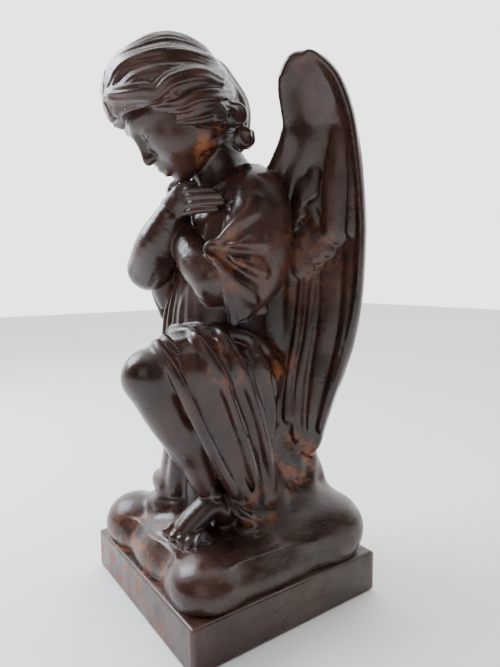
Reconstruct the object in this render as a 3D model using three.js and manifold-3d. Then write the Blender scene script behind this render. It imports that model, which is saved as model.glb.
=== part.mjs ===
// A kneeling angel for a grave: one casting of a child angel, its two open wings, the cloud that it
// kneels on and a square plinth. Millimetres, +Z up. The origin is at the centre of the plinth's
// underside, the angel faces -Y and its left side is +X. The right knee is on the cloud, the left
// knee is raised, the arms are crossed on the chest and the head is bent.

import * as THREE from "three";
import { mergeVertices } from "three/addons/utils/BufferGeometryUtils.js";
import Module from "manifold-3d";

const wasm = await Module();
wasm.setup();

// Driving dimensions
const PLINTH_SIDE = 300;
const PLINTH_HEIGHT = 60;
const PLINTH_EDGE = 6; // chamfer on the plinth's upper and lower edges
const LEDGE = 15; // plinth top left bare round the cloud
const CLOUD_BULGE = 10; // how far the cloud swells over the ledge
const CLOUD_RISE = 60; // cloud's height above the plinth, under the knee
const SHOULDER_HALF = 70; // from the middle of the chest to a shoulder joint
const SHOULDER_LEVEL = 566;
const HEAD_SIZE = { across: 59, forward: 68, up: 80 }; // half sizes of the head without its hair
const HAIR_SIZE = { across: 74, forward: 84, up: 77 };
const HEAD_BOW = THREE.MathUtils.degToRad(42); // how far the face looks down
const HEAD_TURN = THREE.MathUtils.degToRad(-14); // towards the angel's right
const WING_THICKNESS = 20;
const WING_HOLLOW = 18; // how far the middle of a wing's front lies behind its edges

const at = (x, y, z) => new THREE.Vector3(x, y, z);
const lerp = THREE.MathUtils.lerp;
const LEFT = at(1, 0, 0);
const UP = at(0, 0, 1);

// The body's joints
const hip = { left: at(46, 24, 326), right: at(-44, 26, 318) };
const knee = { left: at(46, -146, 338), right: at(-48, -58, 152) };
const ankle = at(48, -80, 176);
const elbow = { left: at(62, -50, 464), right: at(-72, -86, 470) };
const wrist = { left: at(-16, -74, 530), right: at(-24, -76, 538) };

// A closed mesh geometry as a manifold-3d solid.
function solid(geometry) {
  geometry.deleteAttribute("normal");
  geometry.deleteAttribute("uv");
  const merged = mergeVertices(geometry, 1e-3);
  return new wasm.Manifold(
    new wasm.Mesh({
      numProp: 3,
      vertProperties: merged.attributes.position.array,
      triVerts: new Uint32Array(merged.index.array),
    }),
  );
}

// Rings of points, all with the same count, skinned into a closed body with a fan over each end.
// A ring goes round anticlockwise as it is seen from the ring that follows it.
function loft(rings) {
  const count = rings[0].length;
  const positions = [];
  const faces = [];
  const centre = (ring) => ring.reduce((sum, p) => sum.add(p), at(0, 0, 0)).divideScalar(count);
  [...rings.flat(), centre(rings[0]), centre(rings.at(-1))].forEach((p) => {
    positions.push(p.x, p.y, p.z);
  });
  const top = (rings.length - 1) * count;
  const first = rings.length * count;
  for (let i = 0; i < count; i++) {
    const next = (i + 1) % count;
    for (let k = 0; k < top; k += count) {
      faces.push(k + i, k + next, k + next + count, k + i, k + next + count, k + i + count);
    }
    faces.push(first, next, i, first + 1, top + i, top + next);
  }
  const geometry = new THREE.BufferGeometry();
  geometry.setAttribute("position", new THREE.Float32BufferAttribute(positions, 3));
  geometry.setIndex(faces);
  return solid(geometry);
}

// A limb, lock, finger, fold or feather: an oval section swept through points, with round ends.
// Each point has its radius, flat is the section's thickness over its width, and broad is the
// direction that the width lies along.
function swept(points, radii, { sides = 6, steps = 4, flat = 1, broad = LEFT, caps = [0.55] } = {}) {
  const line = new THREE.CatmullRomCurve3(points);
  const size = new THREE.CatmullRomCurve3(radii.map((r) => at(r, 0, 0)));
  const ring = (t, beyond, share) => {
    const along = line.getTangent(t);
    const radius = size.getPoint(t).x;
    const wide = broad.clone().addScaledVector(along, -broad.dot(along)).normalize();
    const deep = along.clone().cross(wide);
    const centre = line.getPoint(t).addScaledVector(along, beyond * radius * flat);
    return Array.from({ length: sides }, (_, i) => {
      const angle = (2 * Math.PI * (i + 0.5)) / sides;
      return centre
        .clone()
        .addScaledVector(wide, radius * share * Math.cos(angle))
        .addScaledVector(deep, radius * share * flat * Math.sin(angle));
    });
  };
  const cap = (t, sign) =>
    caps.map((turn) => ring(t, sign * Math.sin((turn * Math.PI) / 2), Math.cos((turn * Math.PI) / 2)));
  return loft([
    ...cap(0, -1).toReversed(),
    ...Array.from({ length: steps + 1 }, (_, k) => ring(k / steps, 0, 1)),
    ...cap(1, 1),
  ]);
}

// An ellipsoid with its own half sizes, turned by Euler angles in degrees.
function ball(centre, half, turn = [0, 0, 0], [around, down] = [9, 6]) {
  const geometry = new THREE.SphereGeometry(1, around, down);
  const angles = new THREE.Euler(...turn.map(THREE.MathUtils.degToRad));
  geometry.applyMatrix4(
    new THREE.Matrix4().compose(
      centre,
      new THREE.Quaternion().setFromEuler(angles),
      new THREE.Vector3(...half),
    ),
  );
  return solid(geometry);
}

// A level ring of cloth: a squarish oval, with folds pushed in and out round it.
function clothRing(z, [x, y], [halfWidth, halfDepth], { fold = 0, count = 9, phase = 0, sides = 24 } = {}) {
  const square = (value) => Math.sign(value) * Math.abs(value) ** 0.8;
  return Array.from({ length: sides }, (_, i) => {
    const angle = (2 * Math.PI * i) / sides;
    const push = 1 + fold * Math.cos(count * angle + phase);
    return at(
      x + halfWidth * push * square(Math.cos(angle)),
      y + halfDepth * push * square(Math.sin(angle)),
      z,
    );
  });
}

// A smooth hill, 1 at its middle and fading over the given half width.
const hill = (distance, width) => Math.exp(-((distance / width) ** 2));

function plinth() {
  const half = PLINTH_SIDE / 2 - PLINTH_EDGE;
  const outline = new THREE.Shape()
    .moveTo(-half, -half)
    .lineTo(half, -half)
    .lineTo(half, half)
    .lineTo(-half, half)
    .closePath();
  const geometry = new THREE.ExtrudeGeometry(outline, {
    depth: PLINTH_HEIGHT - 2 * PLINTH_EDGE,
    bevelEnabled: true,
    bevelThickness: PLINTH_EDGE,
    bevelSize: PLINTH_EDGE,
    bevelSegments: 2,
  });
  geometry.translate(0, 0, PLINTH_EDGE);
  return [solid(geometry)];
}

// The cloud covers the plinth to its ledge. It is highest at three corners and lowest at the middle
// of each side, and it bulges over its own edge.
const billows = [
  { x: -104, y: -108, rise: 10, width: 52 },
  { x: 100, y: -106, rise: 0, width: 44 },
  { x: 110, y: 106, rise: 26, width: 50 },
  { x: -106, y: 106, rise: 16, width: 50 },
  { x: 134, y: -6, rise: -26, width: 54 },
  { x: -14, y: -138, rise: -30, width: 36 },
  { x: -136, y: 4, rise: -18, width: 46 },
  { x: 6, y: 138, rise: -12, width: 46 },
];

function cloud() {
  const reach = PLINTH_SIDE / 2 - LEDGE;
  const sides = 32;
  const ring = (share, height, bulge = 0) =>
    Array.from({ length: sides }, (_, i) => {
      const angle = (2 * Math.PI * i) / sides;
      const [c, s] = [Math.cos(angle), Math.sin(angle)];
      const edge = 1 / (Math.abs(c) ** 8 + Math.abs(s) ** 8) ** (1 / 8);
      const corner = edge - 1;
      const radius = edge * (reach * share + bulge * (0.3 + 5 * corner));
      const [x, y] = [radius * c, radius * s];
      const rise = billows.reduce(
        (sum, b) => sum + b.rise * hill(Math.hypot(x - b.x, y - b.y), b.width),
        CLOUD_RISE,
      );
      return at(x, y, PLINTH_HEIGHT + rise * height);
    });
  return [
    loft([
      ring(0.97, -0.08),
      ring(1, 0.08),
      ring(1, 0.4, CLOUD_BULGE),
      ring(0.96, 0.7, CLOUD_BULGE),
      ring(0.86, 0.92),
      ring(0.7, 1),
      ring(0.42, 1.02),
    ]),
  ];
}

// The rock behind the legs, which carries the robe and the tips of the wings.
function rock() {
  const levels = [
    [96, [20, 84], [104, 58]],
    [128, [18, 86], [84, 54]],
    [172, [18, 84], [70, 42]],
    [216, [16, 74], [68, 32]],
  ];
  return [
    loft(levels.map(([z, middle, half]) => clothRing(z, middle, half, { fold: 0.05, count: 5, sides: 14 }))),
  ];
}

// The chest, the waist and the robe round the kneeling right leg, with a broad fold down the back
// to each wing.
function robe() {
  const levels = [
    [106, [-26, 4], [56, 78], 0.06],
    [160, [-22, 4], [60, 78], 0.06],
    [240, [-12, 2], [66, 72], 0.04],
    [322, [-2, -4], [74, 66], 0.03],
    [384, [0, -10], [66, 68], 0.03],
    [450, [0, -8], [64, 64], 0.02],
    [520, [0, -2], [72, 58], 0],
    [562, [0, 4], [76, 52], 0],
    [596, [0, 2], [50, 38], 0],
    [616, [0, -8], [32, 30], 0],
  ];
  const body = loft(
    levels.map(([z, middle, half, fold]) => clothRing(z, middle, half, { fold, count: 9, phase: 2, sides: 18 })),
  );
  const neck = swept([at(0, -6, 596), at(0, -42, 650)], [38, 37], { sides: 10, steps: 1 });
  const kneeCover = swept([at(-46, -24, 250), knee.right], [42, 34], { sides: 9, steps: 1 });
  const backFolds = [1, -1].map((s) =>
    swept([at(s * 50, 42, 590), at(s * 54, 50, 420), at(s * 58, 50, 226)], [18, 20, 19], { sides: 6, steps: 2 }),
  );
  const pleats = [-30, -8].map((x) =>
    swept([at(x, -66, 456), at(x - 2, -76, 372)], [5, 7], { sides: 4, steps: 1 }),
  );
  const kneelingHem = [
    swept([at(-46, -84, 144), at(-78, -74, 150), at(-98, -48, 142)], [13, 17, 13], { steps: 2 }),
    swept([at(-22, -76, 124), at(-50, -88, 122), at(-74, -80, 122)], [15, 18, 14], { steps: 2 }),
    swept([at(-62, -40, 124), at(-92, 10, 130), at(-84, 70, 126)], [24, 26, 22], { steps: 2 }),
  ];
  const skirtFolds = [
    [at(-18, -70, 320), at(-26, -76, 140)],
    [at(-50, -52, 310), at(-58, -66, 140)],
    [at(-72, -20, 310), at(-80, -24, 134)],
  ].map((line) => swept(line, [8, 11], { sides: 4, steps: 1 }));
  return [body, neck, kneeCover, ...backFolds, ...pleats, ...kneelingHem, ...skirtFolds];
}

// The mantle over the raised left thigh. It hangs outside the leg as a curtain down to its hem on
// the cloud, with its longest folds running from the lap to the hem.
function mantle() {
  const thigh = swept([hip.left, at(48, -60, 336), at(48, -122, 344)], [46, 47, 39], { sides: 10, steps: 3 });
  const curtain = loft(
    [
      [126, [66, 8], [12, 24]],
      [164, [66, -10], [18, 34]],
      [224, [64, -32], [22, 40]],
      [262, [64, -32], [24, 62]],
      [318, [62, -36], [26, 82]],
      [362, [56, -44], [26, 80]],
    ].map(([z, middle, half]) => clothRing(z, middle, half, { fold: 0.04, count: 7, phase: 1, sides: 18 })),
  );
  const folds = [
    [[22, -124, 372], [62, -134, 374], [87, -124, 330], [84, -84, 244], [74, -34, 154]],
    [[34, -98, 384], [74, -102, 374], [90, -76, 312], [87, -36, 216], [78, -6, 142]],
    [[40, -66, 386], [78, -70, 374], [90, -42, 304], [86, -8, 214], [76, 18, 142]],
    [[46, -34, 386], [80, -34, 370], [88, -4, 300], [76, 30, 240]],
  ].map((line) =>
    swept(line.map((p) => at(...p)), [6, 7, 8, 8, 9].slice(0, line.length), { sides: 5, steps: 4 }),
  );
  const hem = swept(
    [at(56, -22, 144), at(76, -14, 126), at(76, 16, 120), at(64, 38, 130)],
    [9, 13, 14, 10],
    { steps: 3 },
  );
  const waistRoll = swept(
    [at(-64, -40, 378), at(-14, -80, 380), at(40, -72, 386), at(74, -20, 380), at(74, 28, 356), at(58, 56, 320)],
    [9, 9, 10, 11, 11, 10],
    { sides: 5, steps: 7 },
  );
  return [thigh, curtain, hem, waistRoll, ...folds];
}

// The bare left leg, with its foot turned a little outwards.
function leg() {
  const shin = swept(
    [knee.left, at(47, -124, 290), at(47, -104, 238), ankle],
    [36, 32, 27, 18],
    { sides: 10, steps: 4 },
  );
  const foot = swept(
    [at(54, -46, 142), at(50, -68, 150), at(47, -90, 136), at(45, -108, 124)],
    [18, 23, 23, 19],
    { sides: 8, steps: 3, flat: 0.85 },
  );
  const toes = [
    { root: [32, -108, 126], tip: [29, -128, 121], radius: 9 },
    { root: [43, -110, 124], tip: [43, -129, 118], radius: 7 },
    { root: [52, -107, 123], tip: [54, -122, 117], radius: 6.5 },
    { root: [59, -101, 122], tip: [62, -114, 116], radius: 6 },
    { root: [65, -93, 121], tip: [69, -103, 116], radius: 5.5 },
  ].map(({ root, tip, radius }) => swept([at(...root), at(...tip)], [radius, radius], { sides: 5, steps: 1 }));
  return [shin, ball(knee.left, [36, 36, 37], [0, 0, 0], [12, 7]), foot, ...toes];
}

// One bare forearm with its hand. The four fingers lie side by side, away from the thumb.
function forearm(side, { knuckles, fingerTips, thumb, radii, spread }) {
  const arm = swept(
    [elbow[side], elbow[side].clone().lerp(wrist[side], 0.5).add(at(0, -4, -4)), wrist[side]],
    radii,
    { sides: 9, steps: 3 },
  );
  const palm = swept([wrist[side], knuckles], [19, 22], { steps: 1, flat: 0.6, broad: spread });
  const fingers = [15, 5, -5, -15].map((offset, i) =>
    swept(
      [
        knuckles.clone().addScaledVector(spread, offset),
        fingerTips.clone().addScaledVector(spread, offset * 0.8),
      ],
      [7, 5.8 - 0.2 * i],
      { sides: 5, steps: 1 },
    ),
  );
  return [arm, palm, ...fingers, swept(thumb.map((p) => at(...p)), [8, 5.5], { sides: 5, steps: 1 })];
}

function arms() {
  return [
    ...forearm("left", {
      knuckles: at(-40, -62, 560),
      fingerTips: at(-64, -42, 590),
      thumb: [[-24, -66, 556], [-36, -52, 590]],
      radii: [33, 30, 20],
      spread: at(0.6, 0.3, -0.6).normalize(),
    }),
    ...forearm("right", {
      knuckles: at(8, -68, 560),
      fingerTips: at(54, -46, 556),
      thumb: [[-10, -74, 560], [18, -52, 590]],
      radii: [32, 28, 20],
      spread: at(-0.1, 0.1, -1).normalize(),
    }),
  ];
}

// A wide sleeve from the shoulder to the crook of the arm, with its lower corner hanging free.
// Its folds fan out from the crook.
const sleeveLevels = {
  left: [
    [404, [74, -26], [8, 10]],
    [430, [74, -16], [22, 38]],
    [470, [76, -4], [28, 50]],
    [520, [76, 2], [31, 47]],
    [566, [72, 5], [31, 38]],
    [592, [66, 4], [24, 26]],
    [602, [60, 2], [12, 14]],
  ],
  right: [
    [412, [64, -62], [9, 12]],
    [434, [69, -44], [22, 38]],
    [472, [74, -28], [28, 55]],
    [520, [75, -8], [31, 50]],
    [566, [72, 3], [31, 38]],
    [592, [66, 4], [24, 26]],
    [602, [60, 2], [12, 14]],
  ],
};

function sleeve(side) {
  const sign = side === "left" ? 1 : -1;
  const front = side === "left" ? 0 : -26;
  const cloth = loft(
    sleeveLevels[side].map(([z, [x, y], half]) =>
      clothRing(z, [sign * x, y], half, { fold: 0.03, count: 5, sides: 12 }),
    ),
  );
  const cuff = swept(
    [at(sign * 56, -54 + front, 504), at(sign * 80, -58 + front, 470), at(sign * 76, -34 + front, 412)],
    [7, 10, 8],
    { sides: 5, steps: 4 },
  );
  const crook = at(sign * 66, -58 + front, 505);
  const folds = [
    [102, -10, 530],
    [105, -4, 500],
    [100, -8, 452],
  ].map(([x, y, z]) =>
    swept([crook, at(sign * 92, -38 + front * 0.6, (z + 505) / 2), at(sign * x, y, z)], [8, 8, 4], { sides: 4, steps: 2 }),
  );
  return [cloth, cuff, ...folds];
}

// Head coordinates: across to the angel's left, forward out of the face, and up to the crown.
const headCentre = at(-4, -76, 675);
const headFrame = new THREE.Matrix4()
  .makeTranslation(headCentre)
  .multiply(new THREE.Matrix4().makeRotationZ(HEAD_TURN))
  .multiply(new THREE.Matrix4().makeRotationX(HEAD_BOW));
const onHead = (across, forward, up) => at(across, -forward, up).applyMatrix4(headFrame);

// A closed skin round the head. The shape function takes a direction in head coordinates and gives
// the place of the skin there; the mesh is finest at the face.
function skin([around, down], shape) {
  const geometry = new THREE.SphereGeometry(1, around, down);
  const place = geometry.getAttribute("position");
  for (let i = 0; i < place.count; i++) {
    const level = Math.asin(THREE.MathUtils.clamp(place.getY(i), -1, 1));
    const turn = Math.atan2(place.getX(i), place.getZ(i));
    const round = turn - 0.5 * Math.sin(turn);
    const lift = level - 0.12 * Math.sin(2 * level + Math.PI) - 0.12 * Math.cos(level) ** 2;
    const ring = Math.cos(lift);
    const [a, f, u] = shape(ring * Math.sin(round), ring * Math.cos(round), Math.sin(lift));
    const p = onHead(a, f, u);
    place.setXYZ(i, p.x, p.y, p.z);
  }
  return solid(geometry);
}

// The face is calm, with closed eyes half way down the head, and its jaw narrows to a small chin.
function head() {
  return [
    skin([22, 18], (across, forward, up) => {
      const u = HEAD_SIZE.up * up;
      const jaw = 1 - 0.26 * THREE.MathUtils.smoothstep(-up, 0.1, 1);
      const a = HEAD_SIZE.across * jaw * across;
      const side = Math.abs(a);
      const facing = THREE.MathUtils.smoothstep(forward, 0, 0.5);
      const nose = lerp(0, 1, THREE.MathUtils.smoothstep(-u, -8, 24)) * (u > -32 ? 1 : 0);
      const relief =
        13 * nose * hill(side, 8) +
        4 * hill(u - 14, 10) * hill(side - 24, 22) -
        6 * hill(Math.hypot(side - 23, (u + 1) * 1.2), 12) +
        5 * hill(Math.hypot(side - 24, (u + 5) * 1.8), 9) +
        3 * hill(Math.hypot(side - 28, u + 28), 18) +
        5 * hill(u + 43, 4) * hill(side, 13) +
        5 * hill(u + 51, 4) * hill(side, 11) +
        7 * hill(Math.hypot(side, u + 66), 13);
      return [a, HEAD_SIZE.forward * forward * (1 - 0.06 * (up < 0)) + facing * relief, u];
    }),
  ];
}

// The hair is parted in the middle and combed back in waves over the ears, with curls behind each
// ear and at the nape.
function hair() {
  const cap = skin([24, 12], (across, forward, up) => {
    const side = Math.abs(across);
    const back = THREE.MathUtils.smoothstep(-forward, -0.4, 0.9);
    const waves = 0.045 * Math.cos(17 * side ** 0.8 - 4 * forward) * THREE.MathUtils.smoothstep(side, 0.15, 0.5);
    const parting = 0.05 * hill(across, 0.12) * (1 - back);
    const swell = 1 + waves - parting;
    const bared = forward > 0.35 && up < 0.5 - 0.15 * forward ? 0.6 : 1;
    return [
      HAIR_SIZE.across * across * swell * bared,
      HAIR_SIZE.forward * forward * swell * bared - 6,
      HAIR_SIZE.up * up * swell * bared + 16,
    ];
  });
  const sides = [1, -1].flatMap((s) => [
    swept([onHead(s * 10, 60, 60), onHead(s * 46, 46, 40), onHead(s * 66, 6, 14)], [8, 13, 12], { steps: 3 }),
    swept([onHead(s * 58, 26, 16), onHead(s * 69, -2, -6), onHead(s * 60, -40, -8)], [8, 14, 14], { steps: 2 }),
    ball(onHead(s * 62, -20, -30), [19, 19, 19], [0, 0, 0], [7, 5]),
    ball(onHead(s * 54, -34, -54), [21, 20, 20], [0, 0, 0], [7, 5]),
    ball(onHead(s * 48, -28, -80), [19, 18, 18], [0, 0, 0], [7, 5]),
  ]);
  const nape = swept([onHead(0, -62, -4), onHead(0, -60, -44), onHead(0, -40, -72)], [32, 30, 22], { sides: 8, steps: 2 });
  return [cap, ...sides, nape];
}

// A wing is a curved sheet between two edges that meet at its top and at its tip. Across runs from
// the edge on the angel's back to the free edge, and along runs from the top down to the tip.
const backEdge = new THREE.CatmullRomCurve3([
  at(126, 46, 728),
  at(98, 22, 704),
  at(74, 36, 650),
  at(58, 46, 594),
  at(52, 54, 510),
  at(54, 56, 420),
  at(60, 50, 330),
  at(64, 52, 262),
  at(78, 82, 202),
]);
const freeEdge = new THREE.CatmullRomCurve3([
  at(126, 46, 728),
  at(152, 72, 708),
  at(160, 96, 656),
  at(162, 108, 592),
  at(161, 119, 510),
  at(152, 120, 430),
  at(134, 115, 350),
  at(112, 106, 276),
  at(90, 94, 202),
]);

function onWing(across, along, proud = 0) {
  const inner = backEdge.getPoint(along);
  const outer = freeEdge.getPoint(along);
  const front = outer.clone().sub(inner).normalize().cross(UP).normalize();
  const hollow = WING_HOLLOW * Math.sin(Math.PI * across) * Math.sin(Math.PI * along);
  return inner.lerp(outer, across).addScaledVector(front, proud - hollow);
}

// A slab of the wing whose front has one ridge for each feather, and whose lower end is scalloped.
// Its outer columns stand up as the wing's rolled rims.
function featherSheet(feathers, [top, bottom], [left, right], thickness, rim, rows) {
  const columns = feathers * 2;
  return loft(
    Array.from({ length: rows + 1 }, (_, k) => {
      const place = (i, sign) => {
        const ridge = i % 2 ? 3 : -2;
        const end = bottom - (i % 2 ? 0 : 0.03);
        const atRim = i === 0 || i === columns ? -0.3 : hill(i - 1, 0.6) + hill(i - columns + 1, 0.6);
        const proud = sign * (thickness / 2 + rim * atRim) + (sign > 0 ? ridge : 0);
        return onWing(lerp(left, right, i / columns), lerp(top, end, k / rows), proud);
      };
      const face = Array.from({ length: columns + 1 }, (_, i) => place(i, 1));
      const rear = Array.from({ length: feathers }, (_, i) => place(2 * i + 1, -1));
      return [...face, ...rear.toReversed()].toReversed();
    }),
  );
}

function leftWing() {
  const scales = [
    [0.14, 0.31],
    [0.34, 0.31],
    [0.08, 0.39],
    [0.26, 0.4],
    [0.44, 0.39],
  ].map(([across, along]) =>
    swept(
      [onWing(across, along, 14), onWing(across + 0.03, along + 0.08, 18)],
      [10, 11],
      { sides: 5, steps: 1, flat: 0.5, broad: freeEdge.getPoint(along).sub(backEdge.getPoint(along)).normalize() },
    ),
  );
  return [
    featherSheet(5, [0.02, 0.985], [0, 1], WING_THICKNESS, 8, 9),
    featherSheet(3, [0.14, 0.5], [0.1, 0.9], WING_THICKNESS + 10, 0, 3),
    ...scales,
  ];
}

function wings() {
  const left = joinAll(leftWing());
  return [left, left.mirror([1, 0, 0])];
}

const joinAll = (solids) => wasm.Manifold.union(solids);

// The casting is one solid: a hollow that its overlapping forms happen to seal is left solid, and
// the slivers where they cross, thinner than a twentieth of a millimetre, are dropped.
function casting() {
  const whole = joinAll([
    ...plinth(),
    ...cloud(),
    ...rock(),
    ...robe(),
    ...mantle(),
    ...leg(),
    ...arms(),
    ...sleeve("left"),
    ...sleeve("right"),
    ...head(),
    ...hair(),
    ...wings(),
  ]);
  const bodies = whole.decompose();
  return bodies.reduce((a, b) => (a.volume() > b.volume() ? a : b)).asOriginal().simplify(0.05);
}

function geometryOf(made) {
  const mesh = made.getMesh();
  const geometry = new THREE.BufferGeometry();
  geometry.setAttribute("position", new THREE.BufferAttribute(mesh.vertProperties, 3));
  geometry.setIndex(new THREE.BufferAttribute(mesh.triVerts, 1));
  geometry.computeVertexNormals();
  return geometry;
}

const bronzedPaint = new THREE.MeshStandardMaterial({
  color: new THREE.Color(0.05, 0.028, 0.02),
  roughness: 0.35,
  metalness: 0.3,
});

const angel = new THREE.Mesh(geometryOf(casting()), bronzedPaint);
angel.name = "kneeling_angel";

const group = new THREE.Group();
group.add(angel);

export default group;
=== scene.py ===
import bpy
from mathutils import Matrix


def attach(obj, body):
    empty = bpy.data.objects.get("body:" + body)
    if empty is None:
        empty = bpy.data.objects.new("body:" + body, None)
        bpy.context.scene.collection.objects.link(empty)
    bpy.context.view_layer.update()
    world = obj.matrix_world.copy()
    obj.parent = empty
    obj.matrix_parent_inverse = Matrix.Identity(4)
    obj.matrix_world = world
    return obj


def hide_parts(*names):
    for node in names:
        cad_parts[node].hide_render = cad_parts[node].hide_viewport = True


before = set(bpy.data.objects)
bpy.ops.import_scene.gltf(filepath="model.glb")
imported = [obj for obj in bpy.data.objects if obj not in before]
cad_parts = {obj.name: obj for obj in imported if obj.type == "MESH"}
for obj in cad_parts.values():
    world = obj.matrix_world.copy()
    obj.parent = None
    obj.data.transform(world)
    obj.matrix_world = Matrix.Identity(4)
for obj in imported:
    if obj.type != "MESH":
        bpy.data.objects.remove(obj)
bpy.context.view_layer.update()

from math import cos, pi, radians, sin

import bmesh
import bpy
import numpy as np
import openvdb
from mathutils import Matrix, Vector

# The statue is modelled like clay: closed forms are joined and cut with soft edges in one volume,
# and its surface is then taken as a mesh. Lengths in the clay are millimetres, as in the part's
# source: the origin is at the centre of the plinth's underside, the angel faces -Y and its left
# is +X.
MM = 0.001
FAR = 40.0  # the distance that empty clay starts with
DEEPEST = 6.0  # distances past this don't change the surface

CAST_TRIANGLES = 183000  # the plinth's small faces come on top
PLINTH_SIDE = 0.3
PLINTH_HEIGHT = 0.06
PLINTH_SOFT = 0.004
PLINTH_FACE = 0.008


def spaced(*spans):
    """Grid lines at each span's own spacing: (start, end, spacing)."""
    lines = [
        np.arange(a, b, step * (1), dtype=np.float64)
        for a, b, step in spans
    ]
    return np.concatenate(lines)


GRID_X = spaced((0.6, 82, 1.25), (82, 168, 1.9))
GRID_X = np.concatenate([-GRID_X[::-1], GRID_X])
GRID_Y = spaced((-184, 24, 1.25), (24, 152, 1.9))
GRID_Z = spaced((46, 520, 1.8), (520, 774, 1.25))
AXES = (GRID_X, GRID_Y, GRID_Z)


def curve(points, count):
    """A smooth line through the points, at count even steps."""
    p = np.array(points, float)
    ends = np.vstack([2 * p[0] - p[1], p, 2 * p[-1] - p[-2]])
    t = np.linspace(0, len(p) - 1, count)
    i = np.minimum(t.astype(int), len(p) - 2)
    f = (t - i)[:, None]
    a, b, c, d = ends[i], ends[i + 1], ends[i + 2], ends[i + 3]
    return 0.5 * (
        2 * b + (c - a) * f + (2 * a - 5 * b + 4 * c - d) * f**2 + (3 * b - a - 3 * c + d) * f**3
    )


def smooth(levels, values, where):
    """Values given at levels, eased between them."""
    levels, values = np.array(levels, float), np.array(values, float)
    slope = np.gradient(values, levels)
    w = np.clip(where, levels[0], levels[-1])
    i = np.clip(np.searchsorted(levels, w) - 1, 0, len(levels) - 2)
    step = levels[i + 1] - levels[i]
    t = (w - levels[i]) / step
    return (
        (1 + 2 * t) * (1 - t) ** 2 * values[i]
        + t * (1 - t) ** 2 * step * slope[i]
        + t * t * (3 - 2 * t) * values[i + 1]
        + t * t * (t - 1) * step * slope[i + 1]
    )


def hill(distance, width):
    """1 in the middle, fading over the width."""
    return np.exp(-((distance / width) ** 2))


def turned(x=0, y=0, z=0):
    """A rotation by degrees about X, then Y, then Z."""
    m = Matrix.Rotation(radians(z), 3, "Z") @ Matrix.Rotation(radians(y), 3, "Y")
    return np.array(m @ Matrix.Rotation(radians(x), 3, "X"))


# A form is a list of (low corner, high corner, distance function) whose least distance counts.


def soft(a, b, blend):
    """The smaller of two distances, with the corner between them filled in."""
    h = np.maximum(blend - np.abs(a - b), 0) / blend
    return np.minimum(a, b) - h * h * blend * 0.25


def egg(centre, half, turn=None):
    """An ellipsoid."""
    c, s = np.array(centre, float), np.array(half, float)
    r = np.eye(3) if turn is None else np.array(turn)
    reach = np.sqrt(((r * s) ** 2).sum(1))

    def distance(x, y, z):
        x, y, z = x - c[0], y - c[1], z - c[2]
        q = [r[0, k] * x + r[1, k] * y + r[2, k] * z for k in range(3)]
        near = np.sqrt(sum((v / k) ** 2 for v, k in zip(q, s)))
        rate = np.sqrt(sum((v / k**2) ** 2 for v, k in zip(q, s)))
        return near * (near - 1) / np.maximum(rate, 1e-6)

    return [(c - reach, c + reach, distance)]


def sweep(points, radii, flat=1.0, broad=None, steps=5, strands=0, groove=0.0, twist=0.0):
    """A limb, lock, fold or finger: an oval section along a smooth line, with round ends.

    flat is the section's thickness over its width, broad the direction of its width. strands
    grooves run along it, turning by twist radians on the way.
    """
    count = steps * (len(points) - 1) + 1
    line = curve(points, count)
    size = curve(np.array(radii, float)[:, None], count)[:, 0]
    parts = []
    for k in range(count - 1):
        a, b = line[k], line[k + 1]
        run = b - a
        length = np.linalg.norm(run)
        along = run / length
        wide = np.array(broad, float) if broad is not None else np.array([1.0, 0.02, 0.01])
        wide = wide - wide.dot(along) * along
        wide /= np.linalg.norm(wide)
        deep = np.cross(along, wide)
        ra, rb = max(size[k], 0.3), max(size[k + 1], 0.3)

        def distance(x, y, z, a=a, along=along, wide=wide, deep=deep, ra=ra, rb=rb, k=k, n=length):
            x, y, z = x - a[0], y - a[1], z - a[2]
            s = along[0] * x + along[1] * y + along[2] * z
            t = np.clip(s / n, 0, 1)
            r = ra + (rb - ra) * t
            w = wide[0] * x + wide[1] * y + wide[2] * z
            h = deep[0] * x + deep[1] * y + deep[2] * z
            over = s - t * n
            f = flat
            near = np.sqrt((w * w + (h / f) ** 2 + over * over)) / r
            rate = np.sqrt((w * w + (h / f**2) ** 2 + over * over)) / r**2
            d = near * (near - 1) / np.maximum(rate, 1e-6)
            if strands:
                turn = np.arctan2(h / f, w) * strands + twist * (k + t) / count
                d = d + groove * np.cos(turn) * np.minimum(1, near)
            return d

        edge = max(ra, rb) * max(1, flat)
        parts.append((np.minimum(a, b) - edge, np.maximum(a, b) + edge, distance))
    return parts


def stack(levels, power=2.5, folds=None):
    """Squarish ovals one above the other: (z, (x, y), (half width, half depth)).

    folds gives how far the cloth is pushed out at an angle round the oval and a height.
    """
    z0 = [level[0] for level in levels]
    columns = [[lv[1][0] for lv in levels], [lv[1][1] for lv in levels]]
    columns += [[lv[2][0] for lv in levels], [lv[2][1] for lv in levels]]
    reach = np.array([[c[0] - h[0], c[1] - h[1], c[0] + h[0], c[1] + h[1]] for _, c, h in levels])

    def distance(x, y, z):
        cx, cy, a, b = (smooth(z0, values, z) for values in columns)
        u, v = np.abs(x - cx) / a, np.abs(y - cy) / b
        q = np.maximum((u**power + v**power) ** (1 / power), 1e-4)
        rate = np.sqrt(
            ((u / q) ** (power - 1) / a) ** 2 + ((v / q) ** (power - 1) / b) ** 2
        )
        d = (q - 1) / np.maximum(rate, 1e-5)
        if folds is not None:
            d = d - folds(np.arctan2((y - cy) / b, (x - cx) / a), z) * np.minimum(1, q)
        return np.maximum(d, np.maximum(z - z0[-1], z0[0] - z))

    low = np.array([reach[:, 0].min(), reach[:, 1].min(), z0[0]])
    return [(low, np.array([reach[:, 2].max(), reach[:, 3].max(), z0[-1]]), distance)]


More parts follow.
